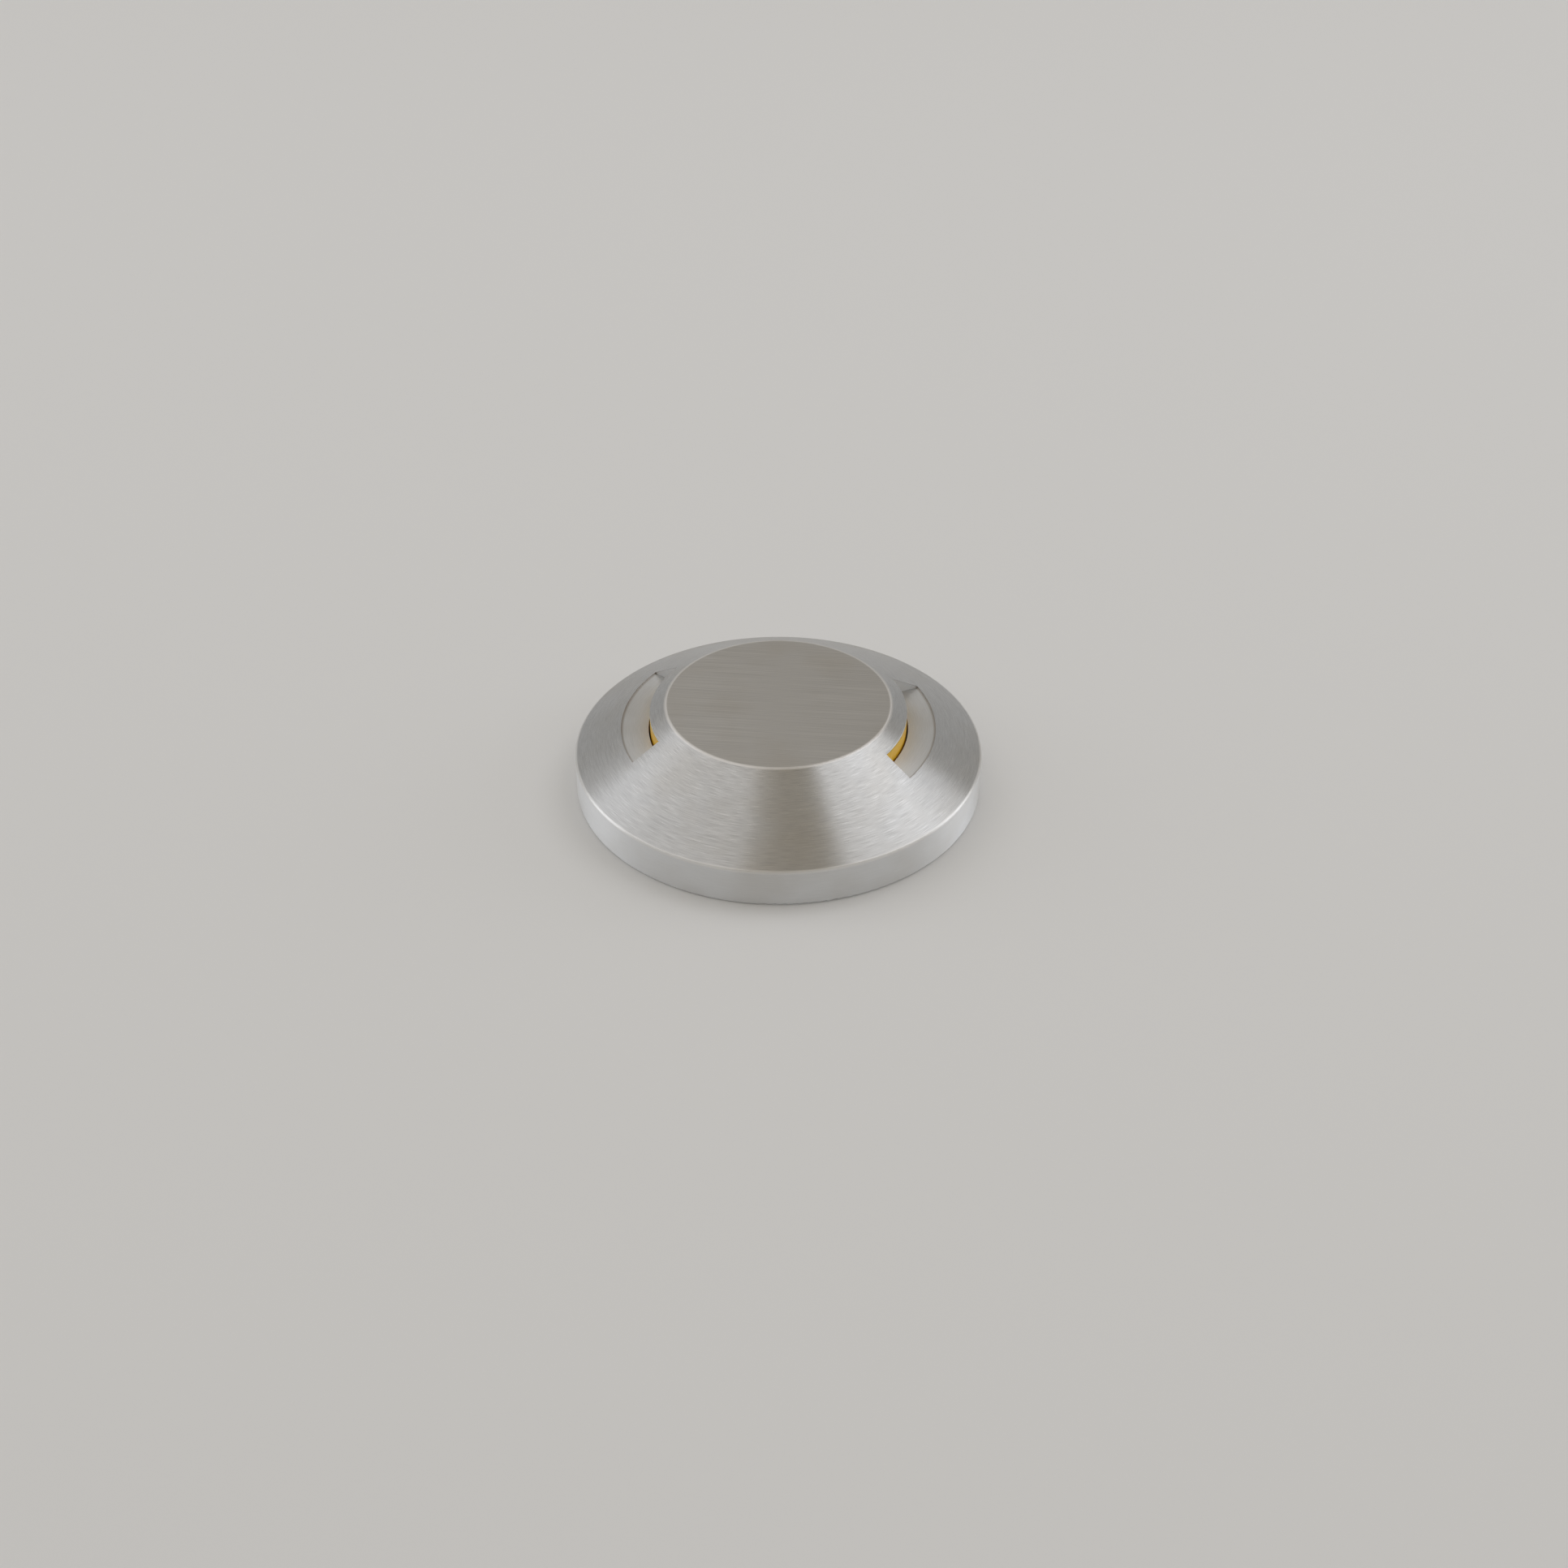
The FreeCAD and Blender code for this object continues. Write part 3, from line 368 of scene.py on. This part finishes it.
    def scratches(self, g: Graph, spot: Spot, on_top: Socket) -> Socket:
        """Draw the brushing: rings on the bevel and skirt, straight lines along X on the top.

        Args:
            g: Graph to add to.
            spot: The shaded point.
            on_top: Mask of the flat top.

        Returns:
            Scratch height from zero to one.
        """
        (width, length), (top_width, top_length) = self.ring_scratch, self.top_scratch
        down = g.add("Math", {0: spot.reach, 1: spot.z}, operation="SUBTRACT").outputs[0]
        down = g.add("Math", {0: down, 1: 1 / metres(width)}, operation="MULTIPLY").outputs[0]
        turns = self.cap.radius / length
        turn = g.add("VectorMath", {0: spot.around, 3: turns}, operation="SCALE").outputs[0]
        turn = g.add("SeparateXYZ", {0: turn}).outputs
        rings = g.add("CombineXYZ", {"X": down, "Y": turn["X"], "Z": turn["Y"]}).outputs[0]
        per_line = (1 / metres(top_length), 1 / metres(top_width), 0.0)
        lines = g.add("VectorMath", {0: spot.place, 1: per_line}, operation="MULTIPLY").outputs[0]
        where = g.add("Mix", {0: on_top, 4: rings, 5: lines}, data_type="VECTOR").outputs[1]
        return g.add("TexNoise", {"Vector": where, "Scale": 1.0, "Detail": self.scratch_detail,
                                  "Roughness": self.scratch_decay}).outputs[0]


@dataclass(frozen=True)
class AmberPolycarbonate:
    """Amber polycarbonate, injection moulded.

    Light spreads inside it, so it stays even and yellow under the lip; it is darker at its foot, a painted
    shade.
    """

    name: str
    foot: float
    bright: str = "#ffc628"
    # Colour of the painted shade at the lens's foot.
    foot_shade: str = "#c98d20"
    shade_height: float = 0.12
    flow_size: float = 2.5
    flow_span: tuple[float, float] = (0.85, 1.1)
    roughness: float = 0.3
    ior: float = 1.58
    specular: float = 0.35
    scatter_weight: float = 0.35
    scatter_depth: float = 1.5
    # Red light travels furthest in amber plastic, blue the least.
    scatter_spread: tuple[float, float, float] = (1.0, 0.7, 0.3)

    def build(self) -> bpy.types.Material:
        """Build the material.

        Returns:
            Node material with a painted shade at its foot and faint flow marks.
        """
        g = Graph(bpy.data.materials.new(self.name))
        spot = Spot.of(g)
        low, high = metres(self.foot), metres(self.foot + self.shade_height)
        # Painted shade: darker towards the foot, over shade_height above the recess floor.
        rise = g.add("MapRange", {0: spot.z, 1: low, 2: high}, interpolation_type="SMOOTHSTEP").outputs[0]
        flow = g.add("TexNoise", {"Vector": spot.place, "Scale": 1 / metres(self.flow_size)}).outputs[0]
        flow = g.add("MapRange", {0: flow, 3: self.flow_span[0], 4: self.flow_span[1]}).outputs[0]
        blend = g.add("Math", {0: rise, 1: flow}, operation="MULTIPLY", use_clamp=True).outputs[0]
        colour = g.add("Mix", {0: blend, 6: linear(self.foot_shade), 7: linear(self.bright)},
                       data_type="RGBA").outputs[2]
        lens = g.add("BsdfPrincipled", {
            "Base Color": colour, "Roughness": self.roughness, "IOR": self.ior,
            "Specular IOR Level": self.specular, "Subsurface Weight": self.scatter_weight,
            "Subsurface Scale": metres(self.scatter_depth), "Subsurface Radius": self.scatter_spread})
        return g.close(lens.outputs[0])


@dataclass(frozen=True)
class Moulded:
    """Moulded polymer with a fine grain.

    The grain breaks up the light a little, so the surface is soft and never one flat tone.
    """

    name: str
    colour: str
    shade: str
    roughness: float = 0.5
    ior: float = 1.5
    grain: float = 0.4
    relief: float = 0.15
    # Width of a grain over its depth, and width of a cloud over that of a grain.
    grain_ratio: float = 5.0
    cloud_ratio: float = 12.0
    detail: float = 4.0
    blend_span: tuple[float, float] = (0.12, 0.42)
    gloss_swing: float = 0.08

    def build(self) -> bpy.types.Material:
        """Build the material.

        Returns:
            Node material with grain in its colour, gloss and relief.
        """
        g = Graph(bpy.data.materials.new(self.name))
        place = Spot.of(g).place
        per_grain, per_cloud = 1 / metres(self.grain), 1 / metres(self.cloud_ratio * self.grain)
        fine = g.add("TexNoise", {"Vector": place, "Scale": per_grain, "Detail": self.detail}).outputs[0]
        broad = g.add("TexNoise", {"Vector": place, "Scale": per_cloud}).outputs[0]
        both = g.add("Math", {0: fine, 1: broad}, operation="MULTIPLY").outputs[0]
        both = g.add("MapRange", {0: both, 1: self.blend_span[0], 2: self.blend_span[1]}).outputs[0]
        colour = g.add("Mix", {0: both, 6: linear(self.shade), 7: linear(self.colour)},
                       data_type="RGBA").outputs[2]
        smooth, dull = self.roughness - self.gloss_swing, self.roughness + self.gloss_swing
        rough = g.add("MapRange", {0: fine, 3: smooth, 4: dull}).outputs[0]
        depth = metres(self.grain / self.grain_ratio)
        bump = g.add("Bump", {"Strength": self.relief, "Distance": depth, "Height": fine})
        body = g.add("BsdfPrincipled", {"Base Color": colour, "Roughness": rough, "IOR": self.ior,
                                        "Normal": bump.outputs[0]})
        return g.close(body.outputs[0])


@dataclass(frozen=True)
class TurnedMetal:
    """Metal cut on a lathe: fine rings about the part's axis that catch the light unevenly."""

    name: str
    colour: str
    shade: str
    roughness: float = 0.32
    # The feed marks of a real cut are near 0.1 mm apart; they are drawn wider so that they show.
    feed: float = 0.25
    # What the valleys add to the roughness, and the crests.
    gloss_span: tuple[float, float] = (0.1, -0.08)
    relief: float = 0.1
    relief_depth: float = 0.05

    def build(self) -> bpy.types.Material:
        """Build the material.

        Returns:
            Node material with ring marks in its colour, gloss and relief.
        """
        g = Graph(bpy.data.materials.new(self.name))
        spot = Spot.of(g)
        down = g.add("Math", {0: spot.reach, 1: spot.z}, operation="SUBTRACT").outputs[0]
        down = g.add("Math", {0: down, 1: 1 / metres(self.feed)}, operation="MULTIPLY").outputs[0]
        marks = g.add("TexNoise", {"W": down, "Scale": 1.0}, noise_dimensions="1D").outputs[0]
        colour = g.add("Mix", {0: marks, 6: linear(self.shade), 7: linear(self.colour)},
                       data_type="RGBA").outputs[2]
        valley, crest = (self.roughness + change for change in self.gloss_span)
        rough = g.add("MapRange", {0: marks, 3: valley, 4: crest}).outputs[0]
        depth = metres(self.relief_depth)
        bump = g.add("Bump", {"Strength": self.relief, "Distance": depth, "Height": marks})
        metal = g.add("BsdfPrincipled", {"Base Color": colour, "Metallic": 1.0, "Roughness": rough,
                                         "Normal": bump.outputs[0]})
        return g.close(metal.outputs[0])


@dataclass(frozen=True)
class BlastedAluminium:
    """Cast aluminium, bead blasted: an even grey with a fine pitted sparkle."""

    name: str
    colour: str = "#b4b6b8"
    shade: str = "#8f9295"
    pit: float = 0.22
    # Width of a pit over its depth, and width of a cloud over that of a pit.
    pit_ratio: float = 6.0
    cloud_ratio: float = 40.0
    blend_span: tuple[float, float] = (0.05, 0.4)
    roughness: tuple[float, float] = (0.48, 0.62)
    relief: float = 0.3

    def build(self) -> bpy.types.Material:
        """Build the material.

        Returns:
            Node material with blasting pits and faint casting clouds.
        """
        g = Graph(bpy.data.materials.new(self.name))
        spot = Spot.of(g)
        per_pit, per_cloud = 1 / metres(self.pit), 1 / metres(self.cloud_ratio * self.pit)
        pits = g.add("TexVoronoi", {"Vector": spot.place, "Scale": per_pit}).outputs["Distance"]
        cloud = g.add("TexNoise", {"Vector": spot.place, "Scale": per_cloud}).outputs[0]
        both = g.add("Math", {0: pits, 1: cloud}, operation="MULTIPLY").outputs[0]
        both = g.add("MapRange", {0: both, 1: self.blend_span[0], 2: self.blend_span[1]}).outputs[0]
        colour = g.add("Mix", {0: both, 6: linear(self.colour), 7: linear(self.shade)},
                       data_type="RGBA").outputs[2]
        rough = g.add("MapRange", {0: cloud, 3: self.roughness[0], 4: self.roughness[1]}).outputs[0]
        depth = metres(self.pit / self.pit_ratio)
        bump = g.add("Bump", {"Strength": self.relief, "Distance": depth, "Height": pits,
                              "Normal": spot.turned_normal(g)})
        metal = g.add("BsdfPrincipled", {"Base Color": colour, "Metallic": 1.0, "Roughness": rough,
                                         "Normal": bump.outputs[0]})
        return g.close(metal.outputs[0])


@dataclass(frozen=True)
class SolderResist:
    """Circuit board under solder resist: glossy lacquer in which the copper tracks show paler."""

    name: str
    colour: str
    track: str
    track_pitch: float = 2.2
    # Where a track's edge starts and ends, as a share of the pitch.
    track_edge: tuple[float, float] = (0.1, 0.06)
    track_relief: float = 0.3
    track_depth: float = 0.05
    roughness: float = 0.35
    ior: float = 1.55

    def build(self) -> bpy.types.Material:
        """Build the material.

        Returns:
            Node material with raised, paler tracks.
        """
        g = Graph(bpy.data.materials.new(self.name))
        place = Spot.of(g).place
        cells = g.add("TexVoronoi", {"Vector": place, "Scale": 1 / metres(self.track_pitch)},
                      feature="DISTANCE_TO_EDGE").outputs["Distance"]
        tracks = g.add("MapRange", {0: cells, 1: self.track_edge[0], 2: self.track_edge[1]}).outputs[0]
        colour = g.add("Mix", {0: tracks, 6: linear(self.colour), 7: linear(self.track)},
                       data_type="RGBA").outputs[2]
        bump = g.add("Bump", {"Strength": self.track_relief, "Distance": metres(self.track_depth),
                              "Height": tracks})
        board = g.add("BsdfPrincipled", {"Base Color": colour, "Roughness": self.roughness, "IOR": self.ior,
                                         "Normal": bump.outputs[0]})
        return g.close(board.outputs[0])


RUBBER = Moulded("epdm_rubber_moulded", "#20201f", "#131313", roughness=0.75, grain=0.3)
ALUMINIUM = TurnedMetal("aluminium_turned", "#d4d5d6", "#b4b5b7")
BRASS = TurnedMetal("brass_turned", "#cfae60", "#ab8a42")
SCREW_STEEL = TurnedMetal("steel_screw_turned", "#c2c2c0", "#9c9c9a")
NYLON = Moulded("nylon_gland_moulded", "#262626", "#191919", relief=0.2)
CHIP_RESIN = Moulded("epoxy_package_moulded", "#1c1c1c", "#121212", roughness=0.55)


@dataclass
class SubAssembly:
    """A group of pieces, each with its finish."""

    title: str
    materials: dict[str, bpy.types.Material]

    def finishes(self) -> dict[str, Finish]:
        """Name the finish of each CAD node of this group."""
        return {}

    def material(self, finish: Finish) -> bpy.types.Material:
        """Fetch a finish's material, built once.

        Args:
            finish: The finish wanted.

        Returns:
            Its material.
        """
        if finish.name not in self.materials:
            self.materials[finish.name] = finish.build()
        return self.materials[finish.name]

    def dress(self) -> None:
        """Give each CAD node its material."""
        for node, finish in self.finishes().items():
            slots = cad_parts[node].data.materials
            slots.clear()
            slots.append(self.material(finish))
            log.info("%s: %s in %s", self.title, node, finish.name)


@dataclass
class GroundFixing(SubAssembly):
    """Sleeve in the ground and the gasket on it."""

    def finishes(self) -> dict[str, Finish]:
        """Name the finish of each CAD node of this group.

        Returns:
            A finish for each node's name.
        """
        return {
            "mounting_sleeve": Moulded("polypropylene_sleeve_moulded", "#6c6e70", "#585a5c", relief=0.2),
            "ground_gasket": RUBBER}


@dataclass
class LampCap(SubAssembly):
    """Steel cap, the amber lens in its windows and what clamps them."""

    top_radius: float = 16.5
    skirt_height: float = 5.7
    recess_floor: float = 9.6
    recess_reach: float = 23.09
    bevel_angle: float = 30.65

    def finishes(self) -> dict[str, Finish]:
        """Name the finish of each CAD node of this group.

        Returns:
            A finish for each node's name.
        """
        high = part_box("bezel_cap")[1] * MM_PER_METRE
        outline = CapOutline(high.x, high.z, self.top_radius, self.skirt_height, self.recess_reach,
                             self.bevel_angle)
        return {
            "bezel_cap": BrushedStainless("stainless_steel_brushed", outline),
            "lens_ring": AmberPolycarbonate("polycarbonate_amber_moulded", self.recess_floor),
            "lens_top_seal": RUBBER, "lens_base_seal": RUBBER, "cap_screws": SCREW_STEEL}


@dataclass
class LightSource(SubAssembly):
    """Carrier plate with the post, the light boards and their leads."""

    def finishes(self) -> dict[str, Finish]:
        """Name the finish of each CAD node of this group.

        Returns:
            A finish for each node's name.
        """
        resist = SolderResist("circuit_board_white_resist", "#e4e3dd", "#f2f1ec")
        phosphor = Moulded("led_phosphor_in_silicone", "#f2de78", "#e2c94e", roughness=0.4)
        return {
            "carrier_plate": ALUMINIUM, "carrier_seal": RUBBER, "led_post": ALUMINIUM,
            "thermal_pad": Moulded("silicone_pad_calendered", "#9aa4ad", "#87919a", roughness=0.7),
            "led_board_left": resist, "led_board_right": resist,
            "leds_left": phosphor, "leds_right": phosphor,
            "board_screws": SCREW_STEEL, "post_screws": SCREW_STEEL, "wire_grommets": RUBBER,
            "live_leads": Moulded("silicone_lead_red", "#a8221c", "#8a1914", roughness=0.45),
            "return_leads": Moulded("silicone_lead_black", "#1f1f1f", "#121212", roughness=0.45)}


@dataclass
class DriverUnit(SubAssembly):
    """Driver board on its spacers, with what hangs from it."""

    def finishes(self) -> dict[str, Finish]:
        """Name the finish of each CAD node of this group.

        Returns:
            A finish for each node's name.
        """
        return {
            "standoffs": BRASS, "driver_screws": SCREW_STEEL, "terminal_screws": SCREW_STEEL,
            "driver_board": SolderResist("circuit_board_green_resist", "#1c5232", "#2c7048"),
            "smoothing_capacitor": Moulded("pvc_sleeve_shrunk", "#1d2236", "#141828", roughness=0.3),
            "choke": Moulded("ferrite_sintered", "#2d2d2e", "#1f1f20", roughness=0.7),
            "bridge_rectifier": CHIP_RESIN, "driver_chip": CHIP_RESIN,
            "supply_terminal": Moulded("nylon_terminal_moulded", "#2d7345", "#225a34")}


@dataclass
class HousingCan(SubAssembly):
    """Flanged can and the rings that grip the sleeve."""

    def finishes(self) -> dict[str, Finish]:
        """Name the finish of each CAD node of this group.

        Returns:
            A finish for each node's name.
        """
        return {
            "housing_can": BlastedAluminium("aluminium_cast_and_blasted"),
            "grip_ring_upper": RUBBER, "grip_ring_lower": RUBBER}


@dataclass
class CableGland(SubAssembly):
    """Gland in the can's floor."""

    def finishes(self) -> dict[str, Finish]:
        """Name the finish of each CAD node of this group.

        Returns:
            A finish for each node's name.
        """
        return {
            "gland_body": NYLON, "gland_washer": RUBBER, "gland_locknut": NYLON,
            "gland_insert": RUBBER, "gland_dome_nut": NYLON}


@dataclass(frozen=True)
class Softbox:
    """Square soft lamp that faces the object."""

    name: str
    towards: tuple[float, float, float]
    distance: float
    side: float
    radiance: float
    tint: str = "#f6f9ff"

    def hang(self) -> None:
        """Make the lamp and turn it to the object."""
        data = bpy.data.lights.new(self.name, "AREA")
        data.shape = "SQUARE"
        data.size = self.side
        data.color = linear(self.tint)[:3]
        data.energy = self.radiance * math.pi * self.side ** 2
        lamp = bpy.data.objects.new(self.name, data)
        lamp.location = Vector(self.towards).normalized() * self.distance
        lamp.rotation_mode = "QUATERNION"
        lamp.rotation_quaternion = (-lamp.location).to_track_quat("-Z", "Y")
        bpy.context.scene.collection.objects.link(lamp)
        log.info("studio: %s", self.name)


@dataclass
class Studio:
    """Plain pale floor with a hole for the sleeve, soft lamps and an even sky."""

    hole_gap: float = 0.05
    floor_radius: float = 1100.0
    floor_drop: float = 0.03
    sides: int = 256
    floor_colour: str = "#ebebeb"
    floor_roughness: float = 0.9
    horizon: str = "#b9b9b8"
    zenith: str = "#a29989"
    # Height of the view, as a sine, up to which the sky keeps the horizon's colour.
    horizon_rise: float = 0.2
    sky_strength: float = 0.95
    lamps: tuple[Softbox, ...] = (
        Softbox("lamp_left", (-0.45, 0.2, 0.83), 1.1, 1.15, 0.57),
        Softbox("lamp_right", (0.47, 0.27, 0.84), 1.1, 0.72, 1.16),
        Softbox("lamp_low_left", (-0.95, 0.12, 0.28), 1.6, 0.75, 1.15),
        Softbox("lamp_low_right", (0.9, 0.34, 0.28), 1.6, 0.75, 1.5),
    )

    def build(self) -> None:
        """Make the floor, the lamps and the sky."""
        self.floor()
        for lamp in self.lamps:
            lamp.hang()
        self.sky()

    def floor(self) -> None:
        """Make a flat ring that is solid from above and clear from below."""
        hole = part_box("mounting_sleeve")[1].x + metres(self.hole_gap)
        turns = [2 * math.pi * i / self.sides for i in range(self.sides)]
        shape = bmesh.new()
        level = -metres(self.floor_drop)
        inner, outer = ([shape.verts.new((radius * math.cos(turn), radius * math.sin(turn), level))
                         for turn in turns] for radius in (hole, metres(self.floor_radius)))
        for i in range(self.sides):
            shape.faces.new((inner[i - 1], outer[i - 1], outer[i], inner[i]))
        mesh = bpy.data.meshes.new("floor")
        shape.to_mesh(mesh)
        shape.free()
        ground = bpy.data.objects.new("floor", mesh)
        bpy.context.scene.collection.objects.link(ground)
        g = Graph(bpy.data.materials.new("plain_floor"))
        matt = g.add("BsdfPrincipled", {"Base Color": linear(self.floor_colour),
                                        "Roughness": self.floor_roughness}).outputs[0]
        clear = g.add("BsdfTransparent").outputs[0]
        below = g.add("NewGeometry").outputs["Backfacing"]
        mesh.materials.append(g.close(g.add("MixShader", {0: below, 1: matt, 2: clear}).outputs[0]))
        log.info("studio: floor")

    def sky(self) -> None:
        """Set a pale sky that is a little dimmer and warmer overhead."""
        g = Graph(bpy.data.worlds.new("soft_sky"))
        height = g.add("SeparateXYZ", {0: g.add("TexCoord").outputs["Generated"]}).outputs["Z"]
        height = g.add("MapRange", {0: height, 1: self.horizon_rise, 2: 1.0}).outputs[0]
        colour = g.add("Mix", {0: height, 6: linear(self.horizon), 7: linear(self.zenith)},
                       data_type="RGBA").outputs[2]
        back = g.add("Background", {"Color": colour, "Strength": self.sky_strength}).outputs[0]
        bpy.context.scene.world = g.close(back)


@dataclass
class PhotoCamera:
    """Camera at the photograph's angle, aimed at the middle of the cap's foot."""

    azimuth: float = 5.5
    elevation: float = 36.3
    distance: float = 325.0
    lens: float = 49.9
    sensor: float = 36.0
    near_limit: float = 10.0
    shift: tuple[float, float] = (0.0036, -0.0043)

    def build(self) -> None:
        """Make the camera and use it."""
        turn, rise = math.radians(self.azimuth), math.radians(self.elevation)
        back = Vector((math.sin(turn) * math.cos(rise), -math.cos(turn) * math.cos(rise), math.sin(rise)))
        data = bpy.data.cameras.new("photo_camera")
        data.lens = self.lens
        data.sensor_width = self.sensor
        data.shift_x, data.shift_y = self.shift
        data.clip_start = metres(self.near_limit)
        camera = bpy.data.objects.new("photo_camera", data)
        camera.location = back * metres(self.distance)
        camera.rotation_mode = "QUATERNION"
        camera.rotation_quaternion = (-back).to_track_quat("-Z", "Y")
        bpy.context.scene.collection.objects.link(camera)
        bpy.context.scene.camera = camera
        log.info("camera: photo_camera")


def main() -> None:
    """Dress the sub-assemblies in order, then set the studio and the camera."""
    logging.basicConfig(level=logging.INFO, format="%(name)s %(message)s")
    bpy.context.scene.view_settings.view_transform = "Standard"
    materials: dict[str, bpy.types.Material] = {}
    for part in (GroundFixing("ground fixing", materials), LampCap("cap", materials),
                 LightSource("light source", materials), DriverUnit("driver", materials),
                 HousingCan("can", materials), CableGland("cable gland", materials)):
        part.dress()
    Studio().build()
    PhotoCamera().build()


if __name__ == "__main__":
    main()
